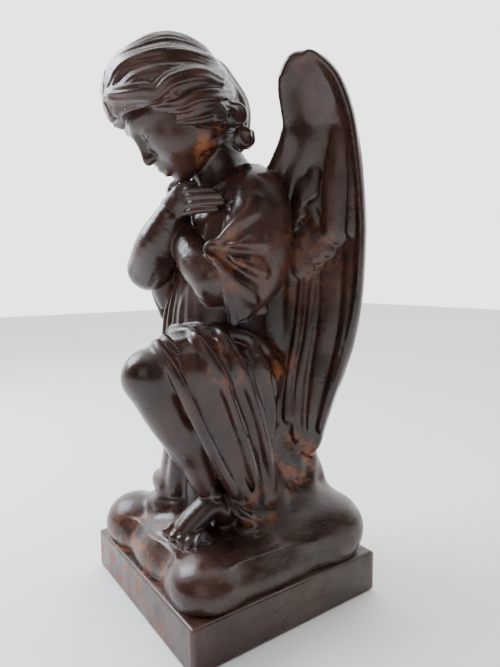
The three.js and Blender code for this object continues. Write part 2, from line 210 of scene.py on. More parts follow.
class Clay:
    """A box of the grid with the distance to the surface at each point, less than 0 inside."""

    def __init__(self, low=(-999,) * 3, high=(999,) * 3):
        self.span = [
            slice(*np.searchsorted(axis, (lo, hi))) for axis, lo, hi in zip(AXES, low, high)
        ]
        self.axes = [axis[s] for axis, s in zip(AXES, self.span)]
        self.value = np.full([len(a) for a in self.axes], FAR, np.float32)

    def within(self, low, high):
        cut = [slice(*np.searchsorted(a, (lo, hi))) for a, lo, hi in zip(self.axes, low, high)]
        x, y, z = (a[s].astype(np.float32) for a, s in zip(self.axes, cut))
        return tuple(cut), x[:, None, None], y[None, :, None], z[None, None, :]

    def form(self, parts, margin):
        low = np.min([p[0] for p in parts], axis=0) - margin
        high = np.max([p[1] for p in parts], axis=0) + margin
        where, *_ = self.within(low, high)
        made = np.full(self.value[where].shape, FAR, np.float32)
        start = [s.start for s in where]
        for lo, hi, distance in parts:
            box, x, y, z = self.within(np.maximum(lo - margin, low), np.minimum(hi + margin, high))
            if 0 in (x.size, y.size, z.size):
                continue
            inner = tuple(slice(s.start - o, s.stop - o) for s, o in zip(box, start))
            made[inner] = np.minimum(made[inner], distance(x, y, z))
        return where, made

    def join(self, parts, blend=5.0):
        where, made = self.form(parts, blend + 4)
        self.value[where] = soft(self.value[where], made, blend)

    def cut(self, parts, blend=3.0):
        where, made = self.form(parts, blend + 4)
        self.value[where] = -soft(-self.value[where], made, blend)

    def add(self, other, blend=4.0):
        """Joins another box of clay to this one."""
        where = tuple(
            slice(o.start - s.start, o.stop - s.start) for o, s in zip(other.span, self.span)
        )
        self.value[where] = soft(self.value[where], other.value, blend)

    def shift(self, low, high, amount):
        """Pushes the surface in by amount(x, y, z)."""
        where, x, y, z = self.within(low, high)
        self.value[where] += amount(x, y, z)


def unit(*v):
    v = np.array(v, float)
    return v / np.linalg.norm(v)


def sided(s, points):
    """The points as they are for s = 1, and mirrored to the angel's right for s = -1."""
    return [(s * x, *rest) for x, *rest in points]


# ---------------------------------------------------------------- cloud, rock and robe

CLOUD = [
    # centre, half sizes: the pillowy lumps that cover the plinth
    ((-103, -103, 82), (51, 49, 42)),
    ((96, -100, 76), (52, 48, 38)),
    ((104, 102, 94), (52, 51.5, 50)),
    ((-102, 98, 88), (50, 52, 46)),
    ((0, -20, 84), (110, 100, 40)),
    ((60, 60, 94), (82, 82, 54)),
    ((-50, 60, 90), (80, 80, 46)),
    ((-8, -96, 74), (60, 44, 36)),
    ((112, -20, 72), (28, 60, 34)),
    ((-114, 0, 76), (28, 60, 38)),
]


def cloud(clay):
    base = [(48, (0, 0), (133, 133)), (72, (0, 0), (136, 136)), (96, (0, 0), (118, 118))]
    clay.join(stack(base, 8))
    for centre, half in CLOUD:
        clay.join(egg(centre, half), 22)


def rock(clay):
    ridges = lambda a, z: 1.8 * np.cos(5 * a + z * 0.05) + 1.2 * np.cos(9 * a - z * 0.08)
    levels = [
        (90, (20, 82), (106, 60)),
        (128, (18, 84), (86, 54)),
        (172, (18, 84), (70, 43)),
        (216, (16, 74), (68, 34)),
        (240, (14, 66), (60, 26)),
    ]
    clay.join(stack(levels, 2.6, ridges), 12)
    inner = [(96, (42, 40), (46, 50)), (170, (38, 36), (40, 44)), (244, (32, 30), (34, 34))]
    clay.join(stack(inner, 2.6, ridges), 10)
    for s in (1, -1):
        hip = sided(s, [(40, 40, 330), (50, 46, 270), (48, 54, 214)])
        clay.join(sweep(hip, [18, 21, 18]), 10)
    # clefts
    for line in [
        [(88, 40, 186), (86, 62, 160), (92, 70, 130)],
        [(72, 30, 200), (78, 44, 176), (84, 46, 140)],
        [(60, 118, 190), (70, 124, 150), (80, 134, 116)],
    ]:
        clay.cut(sweep(line, [2, 3.4, 2]), 4)


def robe(clay):
    def gathers(a, z):
        low = np.clip((330 - z) / 90, 0, 1)
        front = hill(a + 1.7, 0.8)
        return low * 2.6 * np.cos(9 * a + 2 + 0.004 * z) + front * 0.8 * np.cos(17 * a + 0.01 * z)

    body = [
        (106, (-26, 4), (56, 78)),
        (160, (-22, 4), (60, 78)),
        (240, (-12, 2), (66, 72)),
        (322, (-2, -4), (74, 66)),
        (384, (0, -10), (66, 66)),
        (450, (0, -8), (64, 62)),
        (520, (0, -2), (72, 58)),
        (562, (0, 4), (76, 52)),
        (590, (0, 4), (58, 44)),
        (612, (0, -2), (38, 34)),
        (622, (0, -8), (30, 30)),
    ]
    clay.join(stack(body, 2.5, gathers), 8)
    clay.join(sweep([(0, -4, 586), (0, -20, 620), (0, -44, 654)], [40, 36, 35], steps=10), 12)
    collar = [(0, 38, 600), (34, 26, 600), (48, -8, 592), (40, -42, 574), (18, -62, 556)]
    for s in (1, -1):
        clay.join(sweep(sided(s, collar), [4, 4, 4, 4, 3], steps=6), 4)
    clay.join(sweep([(-46, -24, 250), (-48, -44, 190), (-48, -58, 152)], [42, 38, 33]), 10)
    for s in (1, -1):
        back = sided(s, [(50, 42, 590), (52, 48, 420), (48, 42, 300)])
        clay.join(sweep(back, [18, 18, 14]), 12)
    # pleats down the front from the forearms to the waist
    for x, top, foot in [(-44, 440, 376), (-30, 452, 374), (-14, 452, 372), (2, 446, 378)]:
        pleat = [(x, -64, top), (x - 2, -73, (top + foot) / 2), (x - 3, -76, foot)]
        clay.join(sweep(pleat, [4, 5, 6]), 7)
    # the robe gathered under the kneeling leg
    for line, radii in [
        ([(-46, -84, 144), (-78, -74, 150), (-98, -48, 142)], [12, 15, 12]),
        ([(-22, -76, 124), (-50, -88, 122), (-74, -80, 122)], [14, 16, 13]),
        ([(-62, -40, 124), (-92, 10, 130), (-84, 70, 126)], [22, 24, 20]),
        ([(-18, -70, 330), (-22, -74, 240), (-28, -78, 150)], [6, 8, 10]),
        ([(-50, -52, 318), (-56, -62, 230), (-60, -68, 150)], [6, 9, 11]),
        ([(-72, -20, 318), (-78, -26, 220), (-82, -30, 140)], [6, 9, 12]),
        ([(-78, 20, 318), (-80, 22, 220), (-82, 30, 140)], [6, 9, 12]),
    ]:
        clay.join(sweep(line, radii), 9)


# ---------------------------------------------------------------- mantle and leg


def mantle(clay):
    clay.join(sweep([(45, 14, 324), (48, -60, 336), (48, -122, 342)], [43, 46, 37]), 8)
    levels = [
        (124, (66, 8), (12, 24)),
        (164, (66, -10), (18, 34)),
        (224, (64, -32), (22, 42)),
        (262, (64, -32), (24, 60)),
        (318, (62, -38), (26, 78)),
        (362, (56, -46), (26, 76)),
    ]
    clay.join(stack(levels, 2.6), 8)
    # the front edge is a folded band from the top of the knee to the hem
    front = [
        (26, -128, 372), (58, -138, 374), (84, -132, 346),
        (88, -112, 300), (86, -82, 240), (78, -44, 172),
    ]
    clay.join(sweep(front, [6, 7, 8, 8, 8, 8], steps=6), 6)
    lip = [(28, -118, 377), (56, -126, 381), (80, -122, 370)]
    clay.join(sweep(lip, [6, 6, 3], steps=6), 7)
    long_folds = [
        (
            [
                (42, -84, 388), (74, -90, 380), (92, -72, 340),
                (92, -44, 270), (86, -20, 200), (78, -8, 146),
            ],
            [6, 7, 7, 8, 8, 8],
        ),
        (
            [
                (46, -48, 388), (76, -54, 380), (92, -34, 332),
                (91, -6, 262), (84, 14, 190), (76, 20, 142),
            ],
            [6, 7, 8, 8, 8, 8],
        ),
        ([(80, -14, 372), (88, 2, 330), (82, 18, 284), (76, 18, 238)], [5, 8, 8, 7]),
    ]
    for line, sizes in long_folds:
        clay.join(sweep(line, sizes, steps=6), 9)
    creases = [
        (
            [(95, -92, 344), (98, -76, 300), (96, -54, 256), (91, -36, 210), (82, -14, 166)],
            [1.0, 2.6, 3.0, 3.0, 2.5],
        ),
        ([(99, -60, 322), (99, -48, 290), (96, -34, 254)], [1.0, 2.2, 1.0]),
        ([(92, -34, 350), (99, -18, 300), (95, 4, 240), (85, 26, 166)], [1.0, 2.6, 3.2, 2.5]),
        ([(86, -10, 352), (90, 14, 310), (84, 30, 262)], [1.2, 2.5, 1.5]),
    ]
    for line, sizes in creases:
        clay.cut(sweep(line, sizes, steps=6), 6)
    hem = [
        ([(56, -24, 146), (76, -18, 126), (76, 14, 119), (64, 38, 130)], [8, 12, 13, 10]),
        ([(60, -40, 160), (80, -34, 138), (84, -6, 124), (80, 20, 124)], [6, 8, 7, 6]),
    ]
    for line, sizes in hem:
        clay.join(sweep(line, sizes), 4)
    hem_creases = [
        [(74, -34, 170), (88, -20, 140), (90, -2, 126)],
        [(70, -8, 160), (88, 6, 138), (88, 18, 126)],
    ]
    for line in hem_creases:
        clay.cut(sweep(line, [2, 3, 2]), 3)
    waist = [
        (-64, -40, 378), (-14, -78, 380), (40, -72, 386), (72, -26, 382),
        (74, 6, 364), (66, 32, 336), (58, 42, 300),
    ]
    clay.join(sweep(waist, [8, 9, 10, 10, 9, 8, 6]), 6)


def leg(clay):
    shin = [(46, -146, 336), (47, -124, 290), (47, -98, 244), (48, -84, 214), (48, -72, 180)]
    clay.join(sweep(shin, [33, 30, 26, 21, 17]), 6)
    clay.join(egg((46, -144, 336), (34, 35, 35)), 5)
    clay.join(egg((47, -90, 262), (26, 29, 44)), 14)
    foot = [(54, -46, 138), (50, -64, 150), (46, -84, 136), (44, -99, 123)]
    clay.join(sweep(foot, [17, 20, 20, 18], flat=0.85), 6)
    for x in (32, 64):
        clay.join(egg((x, -62, 168), (7, 8, 8)), 5)
    toes = [
        ((32, -98, 125), (31, -119, 121), 8.6),
        ((42, -100, 123), (44, -117, 118), 6.6),
        ((50, -97, 122), (53, -111, 117), 6.1),
        ((57, -91, 121), (61, -103, 116), 5.7),
        ((63, -83, 121), (68, -93, 116), 5.3),
    ]
    for root, tip, radius in toes:
        bend = [(r + t) / 2 for r, t in zip(root, tip)]
        bend[2] += 3
        clay.join(sweep([root, bend, tip], [radius, radius * 0.94, radius], steps=3), 1.2)
        nail = np.array(tip) + (0, -radius * 0.5, radius * 0.92)
        clay.cut(egg(nail, (radius * 0.5, radius * 0.5, 1.0)), 0.8)


# ---------------------------------------------------------------- arms, hands and sleeves


def hand(clay, wrist, knuckles, tips, thumb, spread, lift):
    """A palm, four jointed fingers side by side and a thumb. lift is out of the hand's back."""
    wrist, knuckles, tips = (np.array(p, float) for p in (wrist, knuckles, tips))
    middle = (wrist + knuckles) / 2 + lift * 2
    clay.join(sweep([wrist, middle, knuckles], [18, 19.5, 18], flat=0.6, broad=spread), 6)
    fingers = [(14.6, 0.88, 5.0), (5, 1.03, 5.5), (-4.7, 0.98, 5.3), (-13.8, 0.8, 4.7)]
    for offset, reach, radius in fingers:
        root = knuckles + spread * offset
        run = (tips - knuckles) * reach - spread * offset * 0.16
        joints = [root + run * 0.4 + lift * 4, root + run * 0.74 + lift * 2]
        line = [root, *joints, root + run - lift * 3]
        clay.join(sweep(line, [radius * 1.12, radius, radius * 0.94, radius * 0.8], steps=4), 1.1)
        clay.join(egg(line[1], (radius * 1.1,) * 3), 1.5)
        clay.join(egg(line[0] + lift * 2, (radius * 1.25,) * 3), 4)
    clay.join(sweep(thumb, [9, 7.2, 6], steps=4), 2.5)


def arms(clay):
    left = Clay((-110, -140, 490), (40, 10, 640))
    hand(
        left, (-22, -64, 536), (-42, -56, 560), (-68, -38, 598),
        [(-22, -66, 546), (-28, -58, 572), (-32, -50, 590)],
        unit(0.6, 0.3, -0.6), unit(-0.2, -1, 0.1),
    )
    clay.add(left, 3)
    forearm = [(56, -54, 456), (30, -62, 476), (-6, -64, 510), (-24, -64, 536)]
    clay.join(sweep(forearm, [28, 28, 22, 18]), 3)
    clay.join(egg((53, -54, 452), (25, 30, 31)), 6)
    right = Clay((-60, -150, 500), (110, 10, 640))
    hand(
        right, (-14, -86, 538), (10, -78, 556), (62, -49, 557),
        [(-6, -86, 556), (10, -80, 571), (28, -68, 577)], unit(-0.1, 0.1, -1), unit(0.1, -1, 0.15),
    )
    clay.add(right, 2)
    clay.join(sweep([(-70, -88, 470), (-34, -90, 500), (-9, -85, 536)], [32, 32, 21]), 1.5)


SLEEVES = {
    1: [
        (404, (74, -26), (8, 10)),
        (430, (74, -16), (22, 38)),
        (470, (76, -4), (28, 50)),
        (520, (76, 2), (31, 47)),
        (566, (72, 5), (31, 38)),
        (588, (66, 4), (26, 30)),
        (604, (60, 2), (12, 14)),
    ],
    -1: [
        (412, (-64, -62), (9, 12)),
        (434, (-69, -44), (22, 38)),
        (472, (-74, -28), (28, 55)),
        (520, (-75, -8), (31, 50)),
        (566, (-72, 3), (31, 38)),
        (588, (-66, 4), (26, 30)),
        (604, (-60, 2), (12, 14)),
    ],
}


def sleeves(clay):
    for s, levels in SLEEVES.items():
        front = 0 if s > 0 else -22
        clay.join(stack(levels, 2.5), 8)
        crook = np.array((s * 70, -66 + front, 492))
        edge = [(80, -56 + front, 462), (82, -50 + front, 430), (76, -40 + front, 400)]
        clay.join(sweep([crook, *sided(s, edge)], [5, 7, 7, 6]), 3)
        tail = sided(s, [(76, -40 + front, 402), (72, -20 + front * 0.6, 408), (78, 6, 414)])
        clay.join(sweep(tail, [6, 7, 8]), 6)
        ridges = [
            ((93, -44, 522), (99, -18, 552), 9),
            ((96, -44, 496), (104, -16, 500), 8),
            ((96, -42, 474), (104, -10, 462), 9),
            ((90, -42, 452), (98, -22, 426), 8),
        ]
        for *ends, size in ridges:
            line = [(x, y + front * 0.6, z) for x, y, z in ends]
            clay.join(sweep([crook, *sided(s, line)], [4, size, 2], steps=6), 14)
        hollows = [
            ((101, -50, 510), (110, -18, 528)),
            ((102, -46, 487), (111, -14, 484)),
            ((98, -44, 464), (108, -14, 444)),
        ]
        for ends in hollows:
            line = [(x, y + front * 0.6, z) for x, y, z in ends]
            clay.cut(sweep([crook + (s * 4, -4, 0), *sided(s, line)], [2, 5, 1], steps=6), 9)
        armhole = [(88, 44, 560), (92, 50, 520), (90, 50, 470), (84, 40, 436)]
        clay.cut(sweep(sided(s, armhole), [2, 3, 3, 2]), 5)


# ---------------------------------------------------------------- head and hair

HEAD_CENTRE = np.array([-4.0, -76.0, 675.0])
HEAD_TURN = turned(z=-14) @ turned(x=42)


def on_head(across, forward, up):
    """A point given across to the angel's left, forward out of the face and up to the crown."""
    return HEAD_CENTRE + HEAD_TURN @ np.array([across, -forward, up], float)


def head_egg(place, half, turn=(0, 0, 0)):
    return egg(on_head(*place), half, HEAD_TURN @ turned(*turn))


def head_sweep(points, radii, **more):
    return sweep([on_head(*p) for p in points], radii, **more)


def face(clay):
    clay.join(head_egg((0, 0, 0), (58, 66, 80)), 1)
    clay.join(head_egg((0, 36, -46), (34, 25, 28)), 16)
    for s in (1, -1):
        clay.join(head_egg((s * 27, 36, -26), (23, 24, 24)), 14)
        brow = sided(s, [(7, 60, 13), (22, 58, 19), (38, 46, 15)])
        clay.join(head_sweep(brow, [5, 6, 4]), 9)
        clay.cut(head_egg((s * 21, 68, 0), (15, 9, 9)), 9)
        clay.join(head_egg((s * 22, 50, -1), (12.5, 10.5, 9)), 3)
        lid = sided(s, [(10, 57, -3), (22, 61.5, -6.5), (34, 52, -2)])
        clay.cut(head_sweep(lid, [0.6, 1.1, 0.6], steps=8), 1.2)
        clay.join(head_egg((s * 7, 65, -26), (5, 6, 4.8)), 3.5)
        clay.cut(head_egg((s * 4.2, 69, -32), (2.2, 3.4, 1.8)), 1.5)
    clay.join(head_sweep([(0, 60, 8), (0, 65, -8), (0, 70, -20)], [5, 5.6, 6]), 7)
    clay.join(head_egg((0, 71, -25), (7, 6.6, 6)), 4)
    clay.join(head_egg((0, 57, -42), (17, 10, 12)), 8)
    upper = [
        (-13, 57.5, -45.5), (-5, 64.5, -42.5), (0, 65, -43.8), (5, 64.5, -42.5), (13, 57.5, -45.5),
    ]
    clay.join(head_sweep(upper, [1.4, 3, 2.8, 3, 1.4], steps=6), 2.5)
    lower = [(-11, 58, -50), (0, 63, -52.5), (11, 58, -50)]
    clay.join(head_sweep(lower, [1.6, 3.8, 1.6], steps=6), 3)
    parted = [(-14, 58, -46.5), (0, 67, -47.6), (14, 58, -46.5)]
    clay.cut(head_sweep(parted, [0.6, 1.0, 0.6], steps=8), 1.2)
    clay.join(head_egg((0, 46, -66), (15, 13, 11)), 9)


PARTING = 8.0  # how far to the angel's left the parting lies
# locks of the left side, combed back over the ear: line, half widths, twist
LOCKS = [
    ([(10, 62, 62), (36, 56, 52), (60, 38, 34), (70, 16, 14)], [5, 10, 11, 7], 1.5),
    (
        [(46, 52, 38), (64, 34, 24), (72, 10, 22), (70, -22, 8), (56, -46, -12)],
        [5, 9, 12, 13, 9],
        1.2,
    ),
    (
        [(58, 36, 12), (68, 18, -2), (70, -2, -8), (62, -26, -20), (44, -50, -30)],
        [4, 10, 13, 13, 9],
        1.2,
    ),
    ([(58, 26, -14), (64, 8, -24), (62, -12, -32), (52, -32, -40)], [4, 9, 11, 9], 1.0),
]
# curls behind the left ear: centre, size, where the coil starts
CURLS = [((58, -16, -38), 15, 0.6), ((46, -40, -52), 18, 2.0), ((45, -34, -80), 17, 3.4)]


def strands(x, y, z):
    """Fine and broad grooves of hair combed back and down from the parting."""
    p = [x - HEAD_CENTRE[0], y - HEAD_CENTRE[1], z - HEAD_CENTRE[2]]
    a, f, u = (sum(HEAD_TURN[i, k] * p[i] for i in range(3)) for k in range(3))
    a, f, u = a - PARTING, -f + 6, u - 16
    down = np.arctan2(np.abs(a), u)
    back = np.arctan2(np.sqrt(a * a + u * u), f)
    flow = down - 0.75 * back
    away = 1 - hill(a, 4)
    fade = np.clip((3.0 - back) * 2, 0, 1)
    fine = 0.32 * np.cos(flow * 62 + 2 * np.sin(back * 7)) + 0.35 * np.cos(flow * 33)
    broad = 1.5 * np.cos(flow * 12 + 0.6) * np.clip(np.abs(a) / 40, 0, 1)
    return away * fade * (fine + broad) + 3.5 * hill(a, 3.5) * (f > -30) * (u > 0)


def hair(clay):
    clay.join(head_egg((0, -5, 16), (74, 79, 77)), 1)
    clay.join(head_egg((0, 22, 34), (56, 50, 58)), 12)
    clay.join(head_egg((0, -30, -16), (58, 50, 62)), 14)
    clay.shift((-100, -200, 540), (100, 40, 790), strands)
    clay.cut(head_egg((0, 62, -34), (84, 62, 72)), 7)
    clay.cut(head_egg((0, 30, -96), (52, 60, 42)), 8)
    for s in (1, -1):
        for line, radii, twist in LOCKS:
            radii = [r if s > 0 else r * 0.72 for r in radii]
            lock = head_sweep(
                sided(s, line), radii, strands=8, groove=0.9, twist=twist * s, steps=8
            )
            clay.join(lock, 4)
        for (a, f, u), radius, start in CURLS:
            coil = [
                (
                    s * (a + radius * (0.1 + 0.11 * t)),
                    f + radius * (0.66 - 0.07 * t) * cos(start + 1.15 * t),
                    u + radius * (0.66 - 0.07 * t) * sin(start + 1.15 * t),
                )
                for t in range(6)
            ]
            sizes = [radius * k for k in (0.3, 0.42, 0.46, 0.42, 0.36, 0.24)]
            clay.join(head_egg((s * a, f, u), (radius * 0.8, radius * 0.7, radius * 0.7)), 4)
            clay.join(head_sweep(coil, sizes, strands=5, groove=0.7, steps=6), 2)
    nape = [(0, -62, -4), (0, -60, -44), (0, -42, -76)]
    clay.join(head_sweep(nape, [32, 30, 20], strands=12, groove=1.0, steps=8), 6)


# ---------------------------------------------------------------- wings

# A wing is laid out on its own upright plane: across it from its start, and up.
WING_START = np.array([60.0, 48.0, 0.0])
WING_LINE = unit(cos(radians(33)), sin(radians(33)), 0)
WING_FRONT = unit(sin(radians(33)), -cos(radians(33)), 0)
WING_HOLLOW = 16.0
WING_HALF = 9.0
WING_ROUND = 7.0
WING_TOP, WING_TIP = 734, 200
INNER_EDGE = [
    (46, 734), (31, 731), (20, 718), (13, 694), (14, 664), (15, 640), (11, 618), (0, 598),
    (-5, 560), (-4, 510), (-2, 420), (-2, 330), (0, 297), (6, 265), (16, 239), (28, 216),
    (42, 200),
]
OUTER_EDGE = [
    (46, 734), (62, 731), (78, 720), (94, 698), (107, 656), (114, 606), (118, 560), (119.5, 504),
    (115, 430), (105, 370), (93, 330), (77, 284), (64, 241), (56, 214), (42, 200),
]
# how far the wing's middle plane stands forward at a height, at its inner and its outer edge
INNER_BEND = [
    (728, 40), (704, 40), (650, 18), (594, 1), (510, -9), (420, -10), (330, -2), (262, 2),
    (202, -10),
]
OUTER_BEND = [
    (728, 36), (708, 30), (656, 14), (592, 5), (510, -4), (430, -10), (350, -16), (276, -15),
    (202, -14),
]
# flight feathers: line as (across, up) from root to tip, half widths at its ends, how far they
# stand, and how far they swell
FLIGHT = [
    ([(33, 482), (26, 385), (16, 310), (15, 256)], (6, 7), 3, 6),
    ([(47, 484), (41, 387), (31, 322), (27, 266), (28, 230)], (8, 9), 2, 5),
    ([(72, 500), (67, 400), (57, 320), (50, 250), (46, 210)], (17, 13), 2, 3),
    ([(98, 510), (93, 402), (81, 336), (69, 288), (60, 244)], (9, 9), 2.5, 6),
    ([(113, 510), (107, 425), (96, 370), (83, 320), (73, 278)], (7, 7), 3, 6),
]
# coverts and scales, lying on the wing: line, half widths along it, how far they stand
COVERTS = [
    ([(103, 630), (106, 580), (104, 516)], (8, 11, 12), -2.5),
    ([(84, 640), (80, 590), (76, 518)], (12, 19, 19), -1.5),
    ([(18, 520), (18, 490), (24, 464)], (8, 10, 10), -1.5),
    ([(27, 530), (29, 500), (38, 470)], (8, 10, 10), -0.5),
    ([(36, 540), (40, 512), (52, 484)], (8, 11, 10), 0),
    ([(44, 550), (51, 524), (64, 494)], (8, 11, 11), 0.5),
    ([(20, 545), (20, 528)], (10, 11), 2),
    ([(27, 562), (28, 545)], (10, 12), 3),
    ([(33, 582), (33, 564)], (10, 12), 3.5),
    ([(48, 596), (44, 572)], (10, 13), 2.5),
]


def wing_maps(heights):
    """Maps over the wing's plane: distance outside its outline, its bend and its relief."""
    u = np.arange(-30, 140, 1.0)
    U, Z = np.meshgrid(u, heights, indexing="ij")

    def edge(points):
        line = curve([(a, b, 0) for a, b in points], 6 * len(points))
        return line[:, 0], line[:, 1]

    (iu, iz), (ou, oz) = edge(INNER_EDGE), edge(OUTER_EDGE)
    near = np.interp(heights, iz[::-1], iu[::-1])
    far = np.interp(heights, oz[::-1], ou[::-1])
    width = np.maximum(far - near, 14)
    across = (U - near) / width
    level = np.clip((WING_TOP - Z) / (WING_TOP - WING_TIP), 0, 1)
    deep = np.clip(level * 7, 0, 1) * (1 - 0.75 * level) * 1.5
    bow = np.sin(pi * np.clip(across, 0, 1)) * deep * WING_HOLLOW
    bend_at = lambda table: np.interp(heights, *zip(*table[::-1]))
    inner, outer = bend_at(INNER_BEND), bend_at(OUTER_BEND)
    bend = inner + (outer - inner) * np.clip(across, -0.1, 1.1) - bow

    def stretch(lu, lz):
        """Distance to a line on the plane, and how far along it the nearest place is."""
        best, place = np.full(U.shape, 1e9), np.zeros(U.shape)
        for k in range(len(lu) - 1):
            run = (lu[k + 1] - lu[k], lz[k + 1] - lz[k])
            size = max(run[0] ** 2 + run[1] ** 2, 1e-9)
            t = np.clip(((U - lu[k]) * run[0] + (Z - lz[k]) * run[1]) / size, 0, 1)
            d = np.hypot(U - lu[k] - t * run[0], Z - lz[k] - t * run[1])
            place = np.where(d < best, (k + t) / (len(lu) - 1), place)
            best = np.minimum(best, d)
        return best, place

    to_inner, _ = stretch(iu, iz)
    to_outer, _ = stretch(ou, oz)
    inside = (U > near) & (U < far) & (Z < WING_TOP) & (Z > WING_TIP)
    out = np.minimum(to_inner, to_outer) * np.where(inside, -1, 1)

    relief = np.zeros(U.shape)
    for points, (start, end), base, crown in FLIGHT:
        line = curve([(a, b, 0) for a, b in points], 20)
        best, place = stretch(line[:, 0], line[:, 1])
        share = best / (start + (end - start) * place)
        quill = 0.5 * hill(best, 1.2)
        shape = (base + crown * (1 - share**2) + quill) * np.clip((1 - share) * 3, 0, 1) ** 0.7
        # the root runs out into the wing, the tip stands free
        shape *= np.clip(place * 4, 0, 1)
        relief = np.where(share < 1, np.maximum(relief, shape), relief)
    # the rolled arm along the inner edge, and the rim round the top and down the outer edge
    arm = 13 * hill(to_inner - 13, 13) * np.clip((Z - 585) / 50, 0, 1) * inside
    rim = 9 * hill(to_outer - 6, 6.5) * np.clip((Z - 300) / 160, 0, 1) * inside
    relief = np.maximum(relief, np.maximum(arm, rim))
    for _ in range(5):
        inner_part = relief[1:-1, 1:-1] * 2 + relief[:-2, 1:-1] + relief[2:, 1:-1]
        relief[1:-1, 1:-1] = (inner_part + relief[1:-1, :-2] + relief[1:-1, 2:]) / 6
    return u, out, bend, relief


def wings(clay):
    wing = Clay((10, -10, 190), (170, 152, 745))
    heights = wing.axes[2]
    u, out, bend, relief = wing_maps(heights)
    dx = wing.axes[0][:, None] - WING_START[0]
    dy = wing.axes[1][None, :] - WING_START[1]
    along = dx * WING_LINE[0] + dy * WING_LINE[1]
    depth = (dx * WING_FRONT[0] + dy * WING_FRONT[1])[:, :, None]
    place = np.clip(along - u[0], 0, len(u) - 1.001)
    i = place.astype(int)
    f = (place - i)[:, :, None]
    read = lambda chart: chart[i] * (1 - f) + chart[i + 1] * f
    front = read(relief)
    half = WING_HALF + front / 2
    a = read(out) + WING_ROUND
    b = np.abs(depth - read(bend) - front / 2) - half + WING_ROUND
    wing.value[...] = (
        np.minimum(np.maximum(a, b), 0)
        + np.sqrt(np.maximum(a, 0) ** 2 + np.maximum(b, 0) ** 2)
        - WING_ROUND
    )
    # coverts and scales lie on the front like tiles
    for points, widths, proud in COVERTS:
        line = []
        for k, (a, h) in enumerate(points):
            i, j = int(a - u[0]), np.searchsorted(heights, h)
            stand = bend[i, j] + WING_HALF + proud + (2.5 if k else -2)
            line.append(WING_START + WING_LINE * a + WING_FRONT * stand + (0, 0, h))
        wing.join(sweep(line, widths, flat=0.42, broad=WING_LINE, steps=6), 3)
    # the wing's root runs into the shoulder blade
    wing.join(sweep([(56, 32, 556), (66, 42, 600), (84, 44, 640)], [20, 15, 9]), 14)
    clay.add(wing, 7)
    other = clay.value[::-1]
    where = tuple(
        slice(o.start - s.start, o.stop - s.start) for o, s in zip(wing.span, clay.span)
    )
    other[where] = soft(other[where], wing.value, 7)


# ---------------------------------------------------------------- the whole angel


def unevenness(x, y, z):
    """The slight waviness of a hand-finished casting."""
    return 0.35 * (
        np.sin(x / 9.1 + 2 * np.sin(y / 17)) * np.sin(y / 8.3 + 1.3) * np.sin(z / 10.7 + 0.4)
        + 0.8 * np.sin(x / 23 + z / 31) * np.sin(y / 27 - z / 19)
    )


def model():
    clay = Clay()
    robe(clay)
    mantle(clay)
    leg(clay)
    sleeves(clay)
    arms(clay)
    wings(clay)
    rock(clay)
    cloud(clay)
    tresses = Clay((-110, -184, 540), (100, 60, 774))
    hair(tresses)
    skull = Clay((-110, -184, 540), (100, 60, 774))
    face(skull)
    skull.add(tresses, 2)
    clay.add(skull, 3)
    clay.shift((-999,) * 3, (999,) * 3, unevenness)
    return clay


def surface(clay):
    """The clay's surface as points in metres and quads."""
    value = np.clip(clay.value, -DEEPEST, DEEPEST)
    for axis in range(3):
        edge = np.moveaxis(value, axis, 0)
        edge[0] = edge[-1] = DEEPEST
    grid = openvdb.FloatGrid(DEEPEST)
    grid.copyFromArray(value, tolerance=0.0)
    points, quads = grid.convertToQuads(0.0)
    place = [np.interp(points[:, k], np.arange(len(a)), a) for k, a in enumerate(clay.axes)]
    return np.stack(place, 1) * MM, quads


def plinth():
    """The square block with its softened edges."""
    bm = bmesh.new()
    bmesh.ops.create_cube(bm, size=1.0)
    bmesh.ops.scale(bm, vec=(PLINTH_SIDE, PLINTH_SIDE, PLINTH_HEIGHT), verts=bm.verts)
    bmesh.ops.translate(bm, vec=(0, 0, PLINTH_HEIGHT / 2), verts=bm.verts)
    level = [e for e in bm.edges if abs(e.verts[0].co.z - e.verts[1].co.z) < 1e-6]
    bmesh.ops.bevel(
        bm, geom=level, offset=PLINTH_SOFT, segments=4, profile=0.5, affect="EDGES"
    )
    # small faces, so that wear follows its edges
    across = np.arange(-0.144, 0.145, PLINTH_FACE)
    up = np.arange(0.006, 0.055, PLINTH_FACE)
    for axis, places in enumerate((across, across, up)):
        for place in places:
            spot, way = [0, 0, 0], [0, 0, 0]
            spot[axis], way[axis] = float(place), 1
            everything = bm.verts[:] + bm.edges[:] + bm.faces[:]
            bmesh.ops.bisect_plane(bm, geom=everything, plane_co=spot, plane_no=way)
    return bm


points, quads = surface(model())
mesh = bpy.data.meshes.new("kneeling_angel_cast")
mesh.from_pydata(points.tolist(), [], quads[:, ::-1].tolist())
angel = bpy.data.objects.new("kneeling_angel_cast", mesh)
bpy.context.collection.objects.link(angel)

shrink = angel.modifiers.new("shrink", "DECIMATE")
shrink.ratio = min(1.0, CAST_TRIANGLES / (2 * len(quads)))
graph = bpy.context.evaluated_depsgraph_get()
shrunk = bpy.data.meshes.new_from_object(angel.evaluated_get(graph))
angel.modifiers.clear()
angel.data = shrunk

bm = plinth()
bm.from_mesh(shrunk)
bmesh.ops.triangulate(bm, faces=[f for f in bm.faces if len(f.verts) > 4])
bm.to_mesh(shrunk)
bm.free()
shrunk.polygons.foreach_set("use_smooth", [True] * len(shrunk.polygons))
shrunk.update()

# ---------------------------------------------------------------- finish


